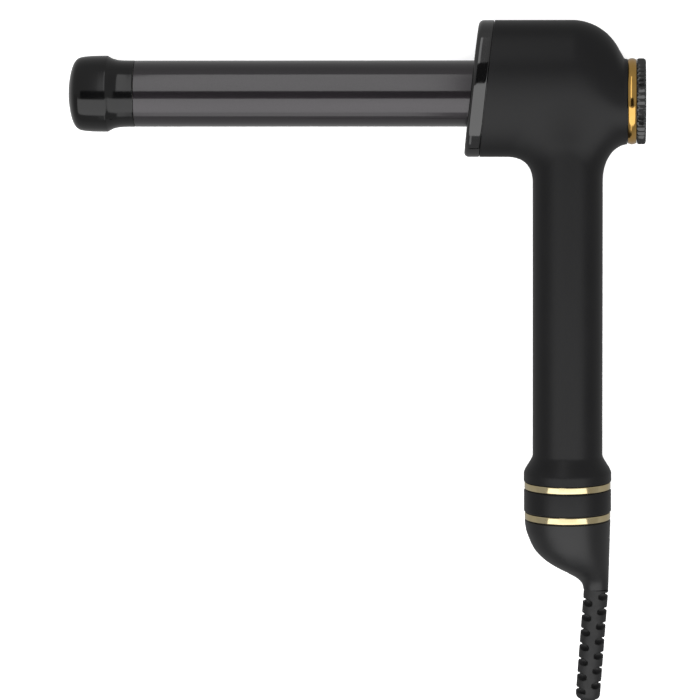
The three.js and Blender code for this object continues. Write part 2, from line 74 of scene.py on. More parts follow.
def add_camera():
    """The photograph's view. The place is in millimetres from the crossing, the angles in radians."""
    data = bpy.data.cameras.new("camera")
    data.lens = CAMERA_LENS
    data.sensor_width = 36
    data.clip_start = 0.05
    data.clip_end = 50
    camera = bpy.data.objects.new("camera", data)
    bpy.context.scene.collection.objects.link(camera)
    camera.location = CROSSING + Vector(CAMERA_PLACE) * MM
    yaw = Matrix.Rotation(CAMERA_YAW, 3, "Y")
    pitch = Matrix.Rotation(CAMERA_PITCH, 3, "X")
    roll = Matrix.Rotation(CAMERA_ROLL, 3, "Z")
    camera.rotation_euler = (yaw @ pitch @ roll).to_euler()
    bpy.context.scene.camera = camera


add_camera()


# ---- Node helpers ----
NOISE_LOW = 0.3
NOISE_HIGH = 0.7


def shader(name):
    """A new material, with its node tree and its Principled BSDF."""
    material = bpy.data.materials.new(name)
    material.use_nodes = True
    nodes = material.node_tree.nodes
    return material, material.node_tree, nodes["Principled BSDF"]


def noise_texture(tree, scale, detail, stretch=None):
    node = tree.nodes.new("ShaderNodeTexNoise")
    node.inputs["Scale"].default_value = scale
    node.inputs["Detail"].default_value = detail
    source = tree.nodes.new("ShaderNodeTexCoord").outputs["Object"]
    if stretch:
        mapping = tree.nodes.new("ShaderNodeMapping")
        mapping.inputs["Scale"].default_value = stretch
        tree.links.new(source, mapping.inputs["Vector"])
        source = mapping.outputs["Vector"]
    tree.links.new(source, node.inputs["Vector"])
    return node.outputs["Fac"]


def remap(tree, value, low, high):
    """Spreads the noise's middle range over low to high."""
    node = tree.nodes.new("ShaderNodeMapRange")
    node.inputs["From Min"].default_value = NOISE_LOW
    node.inputs["From Max"].default_value = NOISE_HIGH
    node.inputs["To Min"].default_value = low
    node.inputs["To Max"].default_value = high
    tree.links.new(value, node.inputs["Value"])
    return node.outputs["Result"]


def vary_colour(tree, bsdf, value, dark, light):
    ramp = tree.nodes.new("ShaderNodeValToRGB")
    ramp.color_ramp.elements[0].position = NOISE_LOW
    ramp.color_ramp.elements[0].color = (*dark, 1)
    ramp.color_ramp.elements[1].position = NOISE_HIGH
    ramp.color_ramp.elements[1].color = (*light, 1)
    tree.links.new(value, ramp.inputs["Fac"])
    tree.links.new(ramp.outputs["Color"], bsdf.inputs["Base Color"])


def add_bump(tree, bsdf, height, strength, distance):
    bump = tree.nodes.new("ShaderNodeBump")
    bump.inputs["Strength"].default_value = strength
    bump.inputs["Distance"].default_value = distance
    tree.links.new(height, bump.inputs["Height"])
    tree.links.new(bump.outputs["Normal"], bsdf.inputs["Normal"])


# ---- Materials ----
def soft_touch_material(name, specular):
    """Rubbery paint: near-black, a broad satin sheen and a very fine orange-peel grain."""
    material, tree, bsdf = shader(name)
    cloud = noise_texture(tree, 35, 4)
    vary_colour(tree, bsdf, cloud, (0.0042, 0.0042, 0.0046), (0.0054, 0.0054, 0.0059))
    tree.links.new(remap(tree, cloud, 0.4, 0.45), bsdf.inputs["Roughness"])
    bsdf.inputs["Specular IOR Level"].default_value = specular
    add_bump(tree, bsdf, noise_texture(tree, 2600, 2), 0.12, 0.00006)
    return material


def gloss_material(name, specular, low, high):
    """Polished black plastic with faint polishing smears. low and high bound its roughness."""
    material, tree, bsdf = shader(name)
    smear = noise_texture(tree, 60, 3)
    vary_colour(tree, bsdf, smear, (0.0024, 0.0024, 0.0026), (0.0036, 0.0036, 0.0038))
    tree.links.new(remap(tree, smear, low, high), bsdf.inputs["Roughness"])
    bsdf.inputs["Specular IOR Level"].default_value = specular
    add_bump(tree, bsdf, noise_texture(tree, 180, 2), 0.03, 0.00003)
    return material


def barrel_material():
    """Dark titanium coating: a clear hard gloss over fine metallic flake, with faint drawn streaks."""
    material, tree, bsdf = shader("barrel_coating")
    flake = noise_texture(tree, 5200, 2, stretch=(0.35, 1, 1))
    vary_colour(tree, bsdf, flake, (0.029, 0.0252, 0.029), (0.037, 0.0325, 0.037))
    bsdf.inputs["Metallic"].default_value = 1.0
    streak = noise_texture(tree, 90, 4, stretch=(0.2, 1, 1))
    tree.links.new(remap(tree, streak, 0.4, 0.5), bsdf.inputs["Roughness"])
    bsdf.inputs["Coat Weight"].default_value = 1.0
    bsdf.inputs["Coat Roughness"].default_value = 0.09
    bsdf.inputs["Coat IOR"].default_value = 1.56
    add_bump(tree, bsdf, flake, 0.03, 0.00002)
    return material


def gold_material(name, dark, light):
    """Vacuum-plated gold trim with slight haze."""
    material, tree, bsdf = shader(name)
    vary_colour(tree, bsdf, noise_texture(tree, 120, 3), dark, light)
    bsdf.inputs["Metallic"].default_value = 1.0
    tree.links.new(remap(tree, noise_texture(tree, 900, 3), 0.1, 0.15), bsdf.inputs["Roughness"])
    add_bump(tree, bsdf, noise_texture(tree, 1800, 2), 0.03, 0.00001)
    return material


def ridged_material():
    """Moulded satin black of the ridged dial."""
    material, tree, bsdf = shader("knurled_black")
    vary_colour(tree, bsdf, noise_texture(tree, 200, 3), (0.005, 0.0052, 0.005), (0.007, 0.0072, 0.0069))
    tree.links.new(remap(tree, noise_texture(tree, 500, 3), 0.14, 0.2), bsdf.inputs["Roughness"])
    bsdf.inputs["Specular IOR Level"].default_value = 0.85
    add_bump(tree, bsdf, noise_texture(tree, 2600, 2), 0.08, 0.00003)
    return material


def rubber_material():
    """Flexible cord rubber, a little lighter and rougher than the paint."""
    material, tree, bsdf = shader("cord_rubber")
    vary_colour(tree, bsdf, noise_texture(tree, 90, 4), (0.008, 0.008, 0.0083), (0.011, 0.011, 0.0113))
    tree.links.new(remap(tree, noise_texture(tree, 300, 3), 0.5, 0.6), bsdf.inputs["Roughness"])
    bsdf.inputs["Specular IOR Level"].default_value = 0.4
    add_bump(tree, bsdf, noise_texture(tree, 1900, 3), 0.25, 0.00008)
    return material


def plain_material(name, dark, light, roughness, metallic, grain):
    """A hidden working part: mottled colour and grain at the scale of its finish."""
    material, tree, bsdf = shader(name)
    vary_colour(tree, bsdf, noise_texture(tree, grain / 6, 3), dark, light)
    bsdf.inputs["Metallic"].default_value = metallic
    rough = remap(tree, noise_texture(tree, grain / 3, 3), roughness - 0.05, roughness + 0.05)
    tree.links.new(rough, bsdf.inputs["Roughness"])
    add_bump(tree, bsdf, noise_texture(tree, grain, 2), 0.15, 0.00005)
    return material


MATERIALS = {
    "soft_touch_black": soft_touch_material("soft_touch_black", 0.28),
    "soft_touch_cap": soft_touch_material("soft_touch_cap", 0.46),
    "gloss_black": gloss_material("gloss_black", 0.41, 0.11, 0.16),
    "gloss_collar": gloss_material("gloss_collar", 0.9, 0.06, 0.1),
    "barrel_coating": barrel_material(),
    "gold_trim": gold_material("gold_trim", (0.54, 0.32, 0.085), (0.62, 0.375, 0.11)),
    "gold_pale": gold_material("gold_pale", (0.66, 0.54, 0.3), (0.76, 0.65, 0.4)),
    "knurled_black": ridged_material(),
    "cord_rubber": rubber_material(),
    "inner_plastic": plain_material("inner_plastic", (0.6, 0.57, 0.48), (0.7, 0.67, 0.58), 0.5, 0, 900),
    "steel": plain_material("steel", (0.45, 0.45, 0.46), (0.6, 0.61, 0.62), 0.3, 1, 1500),
    "aluminium": plain_material("aluminium", (0.46, 0.47, 0.48), (0.58, 0.59, 0.6), 0.42, 1, 1100),
    "copper": plain_material("copper", (0.6, 0.32, 0.16), (0.75, 0.43, 0.24), 0.3, 1, 1500),
    "ceramic": plain_material("ceramic", (0.76, 0.73, 0.65), (0.84, 0.81, 0.74), 0.75, 0, 1200),
    "circuit_board": plain_material("circuit_board", (0.02, 0.12, 0.05), (0.04, 0.19, 0.08), 0.4, 0, 700),
    "lead_red": plain_material("lead_red", (0.4, 0.03, 0.02), (0.5, 0.05, 0.03), 0.5, 0, 800),
    "lead_white": plain_material("lead_white", (0.68, 0.68, 0.64), (0.76, 0.76, 0.72), 0.5, 0, 800),
}


def paint_cad_nodes():
    """Every CAD node that stays in view gets its slot's finish."""
    for part in frame["record"]["subparts"]:
        mesh = frame["nodes"][part["node"]].data
        mesh.materials.clear()
        mesh.materials.append(MATERIALS[part["material_slot"]])


paint_cad_nodes()


# ---- Mesh helpers ----
def finish_piece(obj, body, slot, replaced=(), look=None):
    """Paints a piece with its look, or else its slot's finish, puts it under its body and hides the CAD
    nodes that it stands for.
    """
    obj.data.materials.append(MATERIALS[look or slot])
    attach(obj, body)
    if replaced:
        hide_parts(*replaced)
    return obj


def mesh_object(name, points, faces):
    """A smooth-shaded object from points in millimetres from the crossing."""
    mesh = bpy.data.meshes.new(name)
    metres = np.asarray(points, float) * MM + np.array(CROSSING)
    mesh.from_pydata(metres.tolist(), [], faces)
    mesh.validate()
    mesh.update()
    obj = bpy.data.objects.new(name, mesh)
    bpy.context.scene.collection.objects.link(obj)
    make_outward(mesh)
    mesh.shade_smooth()
    return obj


def make_outward(mesh):
    work = bmesh.new()
    work.from_mesh(mesh)
    bmesh.ops.recalc_face_normals(work, faces=work.faces)
    work.to_mesh(mesh)
    work.free()


def skin(name, rows, closed=False):
    """A surface through rows of points, each a closed loop of the same count.

    closed joins the last row to the first. If it is off, the two end rows are capped.
    """
    count = len(rows[0])
    faces = []
    pairs = len(rows) if closed else len(rows) - 1
    for i in range(pairs):
        a = i * count
        b = ((i + 1) % len(rows)) * count
        for j in range(count):
            k = (j + 1) % count
            faces.append((a + j, a + k, b + k, b + j))
    if not closed:
        faces.append(tuple(range(count)))
        faces.append(tuple(range((len(rows) - 1) * count, len(rows) * count)))
    return mesh_object(name, np.concatenate(rows), faces)


def sharpen(obj, angle=35):
    obj.data.set_sharp_from_angle(angle=math.radians(angle))
    return obj


def around(count):
    return np.linspace(0, 2 * math.pi, count, endpoint=False)


def ring_x(x, radius, angles, centre_y=0.0):
    """A loop about an axis parallel to X. x and radius may vary round the loop."""
    loop = np.empty((len(angles), 3))
    loop[:, 0] = x
    loop[:, 1] = centre_y + radius * np.cos(angles)
    loop[:, 2] = radius * np.sin(angles)
    return loop


def ring_y(y, radius, angles, centre_x=0.0):
    """A loop about an axis parallel to Y."""
    loop = np.empty((len(angles), 3))
    loop[:, 0] = centre_x + radius * np.cos(angles)
    loop[:, 1] = y
    loop[:, 2] = radius * np.sin(angles)
    return loop


def turned_x(name, profile, centre_y=0.0, count=192):
    """A hollow body of revolution about an axis parallel to X, from a closed (x, radius) outline."""
    angles = around(count)
    return skin(name, [ring_x(x, r, angles, centre_y) for x, r in profile], closed=True)


def turned_y(name, profile, count=192):
    """A hollow body of revolution about the handle's axis, from a closed (y, radius) outline."""
    angles = around(count)
    return skin(name, [ring_y(y, r, angles) for y, r in profile], closed=True)


def step(t):
    """0 below 0, 1 above 1, and a smooth rise between."""
    t = np.clip(t, 0, 1)
    return t * t * (3 - 2 * t)


def catmull(points, per_span):
    """Points along a smooth curve through the given ones."""
    p = np.asarray(points, float)
    p = np.vstack([2 * p[0] - p[1], p, 2 * p[-1] - p[-2]])
    out = []
    for i in range(1, len(p) - 2):
        for s in range(per_span):
            t = s / per_span
            out.append(0.5 * (
                2 * p[i]
                + (p[i + 1] - p[i - 1]) * t
                + (2 * p[i - 1] - 5 * p[i] + 4 * p[i + 1] - p[i + 2]) * t ** 2
                + (3 * p[i] - p[i - 1] - 3 * p[i + 1] + p[i + 2]) * t ** 3
            ))
    out.append(p[-2])
    return np.array(out)


# ---- Cord, wound in a tied coil on the table ----
CORD_D = 0.0065
CORD_LEAD = [
    (0.1116, -0.1666, 0.0213),
    (0.1110, -0.1800, 0.0211),
    (0.1099, -0.1940, 0.0194),
    (0.1087, -0.2080, 0.0156),
    (0.1074, -0.2220, 0.0106),
    (0.1063, -0.2360, 0.0062),
    (0.1057, -0.2490, 0.0038),
    (0.1056, -0.2606, 0.0033),
    (0.1056, -0.2740, 0.0033),
]
COIL_CENTRE = (0.06235, -0.292)
COIL_MID_RADIUS = 0.03675
CORD_END = [
    (0.0480, -0.3353, 0.0146),
    (0.0380, -0.3353, 0.0140),
    (0.0300, -0.3353, 0.0126),
    (0.0220, -0.3354, 0.0103),
    (0.0130, -0.3356, 0.0083),
    (0.0040, -0.3358, 0.0072),
    (-0.0040, -0.3360, 0.0070),
    (-0.0080, -0.3360, 0.0070),
]
# Each turn's place across the bundle, in diameters from its middle, and its layer.
TURNS = [(1, 0), (0, 0), (-1, 0), (-1.5, 1), (-0.5, 1), (0.5, 1), (1.5, 1), (-1, 2), (0, 2), (1, 2)]
POINTS_PER_TURN = 60
# The part of a turn that its shift to the next place takes, and how much sooner its rise is done.
SHIFT_SHARE = 0.3
LIFT_EARLY = 1.4


def coil_points():
    """The turns, clockwise from the east side. Each turn shifts to the next one's place at its end."""
    layer = CORD_D * math.sqrt(3) / 2
    points = []
    last = int(POINTS_PER_TURN * (len(TURNS) - 0.75))
    for i in range(last + 1):
        turn, part = divmod(i / POINTS_PER_TURN, 1.0)
        here = TURNS[int(turn)]
        after = TURNS[min(int(turn) + 1, len(TURNS) - 1)]
        shift = (part - (1 - SHIFT_SHARE)) / SHIFT_SHARE
        across = here[0] + (after[0] - here[0]) * step(shift)
        level = here[1] + (after[1] - here[1]) * step(shift * LIFT_EARLY)
        radius = COIL_MID_RADIUS + across * CORD_D
        angle = -2 * math.pi * part
        points.append((
            COIL_CENTRE[0] + radius * math.cos(angle),
            COIL_CENTRE[1] + radius * math.sin(angle),
            CORD_D / 2 + level * layer,
        ))
    return points


def cord_curve():
    """The cord as one open curve, and its length."""
    coil = np.array(coil_points())
    lead = catmull(CORD_LEAD + [coil[0]], 6)[:-1]
    end = catmull([coil[-1]] + CORD_END, 6)
    path = np.concatenate([lead, coil[:-1], end])
    data = bpy.data.curves.new("mains_cord", "CURVE")
    data.dimensions = "3D"
    data.bevel_depth = CORD_D / 2
    data.bevel_resolution = 5
    data.use_fill_caps = True
    spline = data.splines.new("POLY")
    spline.points.add(len(path) - 1)
    for point, place in zip(spline.points, path):
        point.co = (*place, 1)
    spline.use_smooth = True
    obj = bpy.data.objects.new("mains_cord", data)
    bpy.context.scene.collection.objects.link(obj)
    length = float(np.linalg.norm(np.diff(path, axis=0), axis=1).sum())
    return obj, length


def from_crossing(points):
    """Points of the CAD frame, in metres, as millimetres from the crossing."""
    return (np.asarray(points, float) - np.array(CROSSING)) / MM


# The plug and its blades are laid out in millimetres of the CAD frame.
PLUG_Y = -336.0
PLUG_Z = 7.0
PLUG_COUNT = 96
# X, half width and half height down the plug, from its face to the cord.
PLUG_STATIONS = [
    (-51.0, 11.0, 5.9), (-50.2, 12.2, 6.7), (-48.0, 12.6, 7.0), (-42.0, 12.5, 7.0),
    (-35.0, 12.2, 7.0), (-30.0, 10.4, 6.6), (-25.0, 7.8, 5.8), (-20.0, 5.2, 5.0),
    (-13.0, 4.5, 4.5), (-6.4, 4.0, 4.0), (-6.0, 3.4, 3.4),
]
RIB_SPAN = (-19.5, -7.5)
RIB_DEPTH = 0.45
RIB_PITCH = 2.8
GRIP_SPAN = (-46.5, -36.5)
GRIP_DEPTH = 0.5
GRIP_PITCH = 3.2


def superellipse(angles, power):
    """A loop of half width and half height 1, squarer for a smaller power."""
    c, s = np.cos(angles), np.sin(angles)
    return np.sign(c) * np.abs(c) ** power, np.sign(s) * np.abs(s) ** power


def wave(x, start, pitch):
    """1 at start and at every pitch from it, -1 halfway between."""
    return math.cos((x - start) * 2 * math.pi / pitch)


def plug_rows():
    """The plug's sections along X: rounded slab, shoulder, and a ribbed tapered sleeve."""
    across, up = superellipse(around(PLUG_COUNT), 0.62)
    rows = []
    for x, width, height in catmull(PLUG_STATIONS, 12):
        ribbed = RIB_SPAN[0] < x < RIB_SPAN[1]
        gripped = GRIP_SPAN[0] < x < GRIP_SPAN[1]
        rib = RIB_DEPTH * max(0.0, wave(x, -20, RIB_PITCH)) if ribbed else 0.0
        grip = GRIP_DEPTH * step(wave(x, -46, GRIP_PITCH)) if gripped else 0.0
        row = np.empty((PLUG_COUNT, 3))
        row[:, 0] = x
        row[:, 1] = PLUG_Y + (width - rib - grip) * across
        row[:, 2] = PLUG_Z + (height - rib) * up
        rows.append(from_crossing(row * MM))
    return rows


def add_plug():
    plug = sharpen(skin("mains_plug", plug_rows()), 60)
    return finish_piece(plug, "tail", "cord_rubber", ("plug_body",))


BLADE_OFFSET = 6.35
BLADE_COUNT = 32


def blade(name, offset):
    """A flat blade with a round hole near its end, its faces slightly domed towards the hole."""
    angles = around(BLADE_COUNT)
    across, up = superellipse(angles, 0.28)
    rim = (-60.0 + 8.5 * across, PLUG_Z + 3.2 * up)
    hole = (-65.0 + 1.6 * np.cos(angles), PLUG_Z + 1.6 * np.sin(angles))
    rows = []
    for (x, z), y in ((hole, -0.72), (rim, -0.6), (rim, 0.6), (hole, 0.72)):
        row = np.stack([x, np.full(BLADE_COUNT, PLUG_Y + offset + y), z], axis=1)
        rows.append(from_crossing(row * MM))
    return sharpen(skin(name, rows, closed=True), 40)


def add_blades():
    pieces = []
    for i, offset in enumerate((BLADE_OFFSET, -BLADE_OFFSET)):
        piece = blade(f"plug_contact_{i + 1}", offset)
        pieces.append(finish_piece(piece, "tail", "steel", (f"plug_blade_{i + 1}",)))
    return pieces


TIE_WIDTH = 8.0
TIE_THICK = 1.1
TIE_ANGLE = math.radians(125)
TIE_LIFT = 0.7
# The strap's section: place across its width and depth through its thickness, as shares.
TIE_EDGE = [
    (-0.5, 0.15), (-0.46, 0.0), (0.46, 0.0), (0.5, 0.15),
    (0.5, 0.85), (0.46, 1.0), (-0.46, 1.0), (-0.5, 0.85),
]


def tie_outline(grow):
    """Half of a rounded loop over the bundle: (radial, height) pairs, grown outward."""
    half = 2 * CORD_D / MM + 0.7 + grow
    top = CORD_D / MM * (1 + math.sqrt(3)) + 0.35 + grow
    angles = np.linspace(0, math.pi, 49)
    across, up = superellipse(angles, 0.45)
    return COIL_MID_RADIUS / MM + half * across, TIE_LIFT + (top - TIE_LIFT) * up


def add_tie():
    """A fabric strap over the coil, with its edges rounded."""
    rows = []
    inner_r, inner_z = tie_outline(0)
    outer_r, outer_z = tie_outline(TIE_THICK)
    for i in range(len(inner_r)):
        loop = []
        for side, depth in TIE_EDGE:
            radial = inner_r[i] + (outer_r[i] - inner_r[i]) * depth
            height = inner_z[i] + (outer_z[i] - inner_z[i]) * depth
            along = side * TIE_WIDTH
            x = radial * math.cos(TIE_ANGLE) - along * math.sin(TIE_ANGLE)
            y = radial * math.sin(TIE_ANGLE) + along * math.cos(TIE_ANGLE)
            loop.append((COIL_CENTRE[0] + x * MM, COIL_CENTRE[1] + y * MM, height * MM))
        rows.append(from_crossing(loop))
    tie = sharpen(skin("cord_tie", rows), 50)
    return finish_piece(tie, "tail", "soft_touch_black", ("coil_tie",))


cord, cord_length = cord_curve()
finish_piece(cord, "tail", "cord_rubber", ("cord_lead", "cord_coil", "cord_end"))
plug = add_plug()
blades = add_blades()
tie = add_tie()


# ---- Housing: a smooth surface around the head and the handle ----
BARREL_R = 16.0
LEAN = math.tan(math.radians(6.5))
COLLAR_FRONT = -46.7
COLLAR_THICK = 7.4
HEAD_TOP = 35.4
HEAD_BOTTOM = -30.7
HEAD_WIDEST = 11.0
HEAD_HALF = 21.6
TOP_POWER = 2.2
BOTTOM_POWER = 1.85
CURVE_START = 2.0
CURVE_RADIUS = 25.2
CURVE_REACH = 22.0
DIAL_Y = -3.8
NECK_R = 20.4
NECK_START = 27.0
NECK_END = 28.6
HANDLE_R = 16.95
HANDLE_END = -188.8
FLARE_START = -176.2
FLARE_END = -184.6
FLARE_R = -REST_Z
FRONT_BLEND = 12.8
BACK_BLEND = 15.8
SIDE_BLEND = 9.0
WALL = 1.8
SHELL_EDGE = 0.28
SEAM = 0.12
SEAT_GAP = 0.15
SCREWS = [(-22.0, 27.0), (12.0, 24.0), (0.0, -75.0), (0.0, -150.0)]
BORE_R = 3.0
BOSS_R = 3.9


def smooth_least(a, b, reach):
    """The smaller of two distances, blended where they differ by less than reach."""
    near = np.clip(reach - np.abs(a - b), 0, None) / reach
    return np.minimum(a, b) - near * near * reach / 4


def head_top(x):
    """A quarter circle from the flat top, then a straight slope to the neck."""
    s = np.clip(x - CURVE_START, 0, CURVE_REACH)
    drop = CURVE_RADIUS - np.sqrt(CURVE_RADIUS ** 2 - s ** 2)
    slope = CURVE_REACH / math.sqrt(CURVE_RADIUS ** 2 - CURVE_REACH ** 2)
    drop = drop + slope * np.clip(x - CURVE_START - CURVE_REACH, 0, None)
    neck = DIAL_Y + NECK_R
    return -smooth_least(-(HEAD_TOP - drop), np.full_like(x, -neck), 0.8)


def head_section(x, inset=0.0):
    """The head's section at x: top, bottom, height of its widest line, half width, and two powers."""
    t = step((x - CURVE_START) / (NECK_START - CURVE_START))
    bottom = HEAD_BOTTOM + (DIAL_Y - NECK_R - HEAD_BOTTOM) * t
    widest = HEAD_WIDEST + (DIAL_Y - HEAD_WIDEST) * t
    half = HEAD_HALF + (NECK_R - HEAD_HALF) * t
    upper = TOP_POWER + (2 - TOP_POWER) * t
    lower = BOTTOM_POWER + (2 - BOTTOM_POWER) * t
    return head_top(x) - inset, bottom + inset, widest, half - inset, upper, lower


def head_loop(x, inset, angles):
    """The head's outline at x, as y and z round the loop."""
    top, bottom, widest, half, upper, lower = (float(v[0]) for v in head_section(np.array([x]), inset))
    up, across = np.cos(angles), np.sin(angles)
    power = np.where(up > 0, upper, lower)
    reach = np.where(up > 0, top - widest, widest - bottom)
    y = widest + reach * np.sign(up) * np.abs(up) ** (2 / power)
    z = half * np.sign(across) * np.abs(across) ** (2 / power)
    return y, z


def head_distance(p):
    """About how far each point is outside the head."""
    top, bottom, widest, half, upper, lower = head_section(p[:, 0])
    dy = p[:, 1] - widest
    dz = p[:, 2]
    u = np.abs(np.where(dy > 0, dy / (top - widest), dy / (widest - bottom))) + 1e-9
    v = np.abs(dz / half) + 1e-9
    power = np.where(dy > 0, upper, lower)
    q = (u ** power + v ** power) ** (1 / power)
    return np.hypot(dy, dz) * (1 - 1 / q)


def handle_radius(y):
    """The handle's radius, with its flare, and with a rounded end that stays inside the head."""
    t = (FLARE_START - y) / (FLARE_START - FLARE_END)
    eased = (np.clip(t, 0, 1) + step(t)) / 2
    flared = HANDLE_R + (FLARE_R - HANDLE_R) * eased
    return flared * (1 - 0.4 * step((y + 24) / 34)) - 30 * step(y / 20)


def housing_distance(p):
    """About how far each point is outside the housing. The blend is wider in front and behind."""
    head = head_distance(p)
    across = np.hypot(p[:, 0], p[:, 2]) + 1e-9
    handle = across - handle_radius(p[:, 1])
    facing = (p[:, 0] / across) ** 2
    outer = np.where(p[:, 0] < 0, FRONT_BLEND, BACK_BLEND)
    reach = SIDE_BLEND + (outer - SIDE_BLEND) * facing
    return smooth_least(head, handle, reach)


def gradient(p, size=0.05):
    g = np.empty_like(p)
    for axis in range(3):
        shift = np.zeros(3)
        shift[axis] = size
        g[:, axis] = (housing_distance(p + shift) - housing_distance(p - shift)) / (2 * size)
    return g


def onto_housing(p, rounds):
    """Moves points along the distance's slope onto the housing's surface."""
    for _ in range(rounds):
        g = gradient(p)
        p = p - g * (housing_distance(p) / (g ** 2).sum(axis=1))[:, None]
    return p


def rough_body():
    """The head and the handle as two crossing lofts, only to seed the remesh."""
    angles = around(96)
    rows = []
    for x in np.linspace(-52, 34, 60):
        y, z = head_loop(x, 0, angles)
        rows.append(np.stack([np.full(len(angles), x), y, z], axis=1))
    head = skin("rough_head", rows)
    rows = []
    for y in np.linspace(-192, -8, 120):
        rows.append(ring_y(y, float(handle_radius(np.array([y]))[0]), angles))
    return head, skin("rough_handle", rows)


def joined(objects):
    """One object in place of several."""
    work = bmesh.new()
    for obj in objects:
        work.from_mesh(obj.data)
        bpy.data.objects.remove(obj)
    mesh = bpy.data.meshes.new("joined")
    work.to_mesh(mesh)
    work.free()
    obj = bpy.data.objects.new("joined", mesh)
    bpy.context.scene.collection.objects.link(obj)
    return obj


def applied(obj):
    """The object's mesh with its modifiers applied."""
    bpy.context.view_layer.update()
    graph = bpy.context.evaluated_depsgraph_get()
    mesh = bpy.data.meshes.new_from_object(obj.evaluated_get(graph))
    obj.modifiers.clear()
    obj.data = mesh
    return obj


def places(mesh):
    flat = np.empty(len(mesh.vertices) * 3)
    mesh.vertices.foreach_get("co", flat)
    return flat.reshape(-1, 3)


def local_points(mesh):
    """A mesh's points in millimetres from the crossing."""
    return (places(mesh) - np.array(CROSSING)) / MM


def put_points(mesh, points):
    mesh.vertices.foreach_set("co", (points * MM + np.array(CROSSING)).ravel())
    mesh.update()


def relax(mesh, points, rounds):
    """Evens out the vertices by moving each towards its neighbours' middle."""
    edges = np.empty(len(mesh.edges) * 2, int)
    mesh.edges.foreach_get("vertices", edges)
    a, b = edges.reshape(-1, 2).T
    count = np.bincount(a, minlength=len(points)) + np.bincount(b, minlength=len(points))
    for _ in range(rounds):
        total = np.zeros_like(points)
        for axis in range(3):
            total[:, axis] += np.bincount(a, points[b, axis], len(points))
            total[:, axis] += np.bincount(b, points[a, axis], len(points))
        points = points + 0.5 * (total / count[:, None] - points)
    return points


def housing_skin(voxel=0.7):
    """The whole housing as one even mesh that lies on the blended surface."""
    body = joined(rough_body())
    remesh = body.modifiers.new("remesh", "REMESH")
    remesh.mode = "VOXEL"
    remesh.voxel_size = voxel * MM
    applied(body)
    mesh = body.data
    points = relax(mesh, local_points(mesh), 12)
    points = onto_housing(points, 6)
    for _ in range(3):
        points = onto_housing(relax(mesh, points, 2), 2)
    points[:, 2] = np.maximum(points[:, 2], REST_Z)
    put_points(mesh, points)
    return body


def slice_off(obj, place, normal, snap=0.2):
    """Removes what lies beyond a plane, snapping nearby points to it so that no slivers stay."""
    normal = np.array(normal, float)
    normal /= np.linalg.norm(normal)
    points = local_points(obj.data)
    beyond = (points - np.array(place)) @ normal
    near = np.abs(beyond) < snap
    points[near] -= beyond[near, None] * normal
    put_points(obj.data, points)
    work = bmesh.new()
    work.from_mesh(obj.data)
    everything = work.verts[:] + work.edges[:] + work.faces[:]
    at = CROSSING + Vector(place) * MM
    bmesh.ops.bisect_plane(
        work, geom=everything, dist=2e-6, plane_co=at, plane_no=Vector(normal), clear_outer=True)
    work.to_mesh(obj.data)
    work.free()


def thicken(obj):
    """Gives a shell its wall, and rounds the wall's edges."""
    solid = obj.modifiers.new("wall", "SOLIDIFY")
    solid.thickness = WALL * MM
    solid.offset = -1
    solid.use_even_offset = False
    bevel = obj.modifiers.new("edges", "BEVEL")
    bevel.limit_method = "ANGLE"
    bevel.angle_limit = math.radians(55)
    bevel.width = SHELL_EDGE * MM
    bevel.segments = 2
    bevel.use_clamp_overlap = False
    return applied(obj)


def ring_z(x, y, z, radius, angles):
    """A loop about an axis parallel to Z."""
    loop = np.empty((len(angles), 3))
    loop[:, 0] = x + radius * np.cos(angles)
    loop[:, 1] = y + radius * np.sin(angles)
    loop[:, 2] = z
    return loop


def bore(x, y):
    """A rod that cuts a screw's hole through the rear wall."""
    angles = around(48)
    return skin("bore", [ring_z(x, y, -30, BORE_R, angles), ring_z(x, y, -10, BORE_R, angles)])


def drill(obj, cutters):
    """Cuts the cutters out of an object."""
    cutter = joined(cutters)
    cut = obj.modifiers.new("holes", "BOOLEAN")
    cut.operation = "DIFFERENCE"
    cut.object = cutter
    cut.solver = "EXACT"
    applied(obj)
    bpy.data.objects.remove(cutter)


def onto_side(x, y):
    """How far the housing's side stands from its middle plane at (x, y)."""
    low, high = 5.0, 30.0
    for _ in range(30):
        mid = (low + high) / 2
        inside = housing_distance(np.array([[x, y, mid]]))[0] < 0
        low, high = (mid, high) if inside else (low, mid)
    return low


def boss(name, x, y):
    """The sleeve round a housing screw, from the shoulder under its head to just inside the wall."""
    sides = [onto_side(x + BOSS_R * math.cos(a), y + BOSS_R * math.sin(a)) for a in around(16)]
    rim = 0.4 - min(sides)
    outline = [(rim, 2.95), (-11.0, 2.95), (-11.0, 1.7), (-6.0, 1.7), (-6.0, BOSS_R), (rim, BOSS_R)]
    rows = [ring_z(x, y, z, radius, around(40)) for z, radius in outline]
    piece = sharpen(skin(name, rows, closed=True))
    return finish_piece(piece, "housing", "soft_touch_black")


def add_housing():
    """Two shells, parted along the middle plane, and the sleeves round their screws."""
    whole = housing_skin()
    seat = COLLAR_FRONT + COLLAR_THICK + SEAT_GAP
    slice_off(whole, (seat, 0, 0), (-1, LEAN, 0))
    slice_off(whole, (NECK_END, 0, 0), (1, 0, 0))
    slice_off(whole, (0, HANDLE_END, 0), (0, -1, 0))
    for name, side in (("housing_front", 1), ("housing_rear", -1)):
        half = bpy.data.objects.new(name + "_shell", whole.data.copy())
        bpy.context.scene.collection.objects.link(half)
        slice_off(half, (0, 0, side * SEAM), (0, 0, -side))
        half.data.materials.clear()
        thicken(half)
        if side < 0:
            drill(half, [bore(x, y) for x, y in SCREWS])
        half.data.shade_smooth()
        sharpen(half, 40)
        finish_piece(half, "housing", "soft_touch_black", (name,))
    bpy.data.objects.remove(whole)
    for i, (x, y) in enumerate(SCREWS):
        boss(f"screw_boss_{i + 1}", x, y)


add_housing()


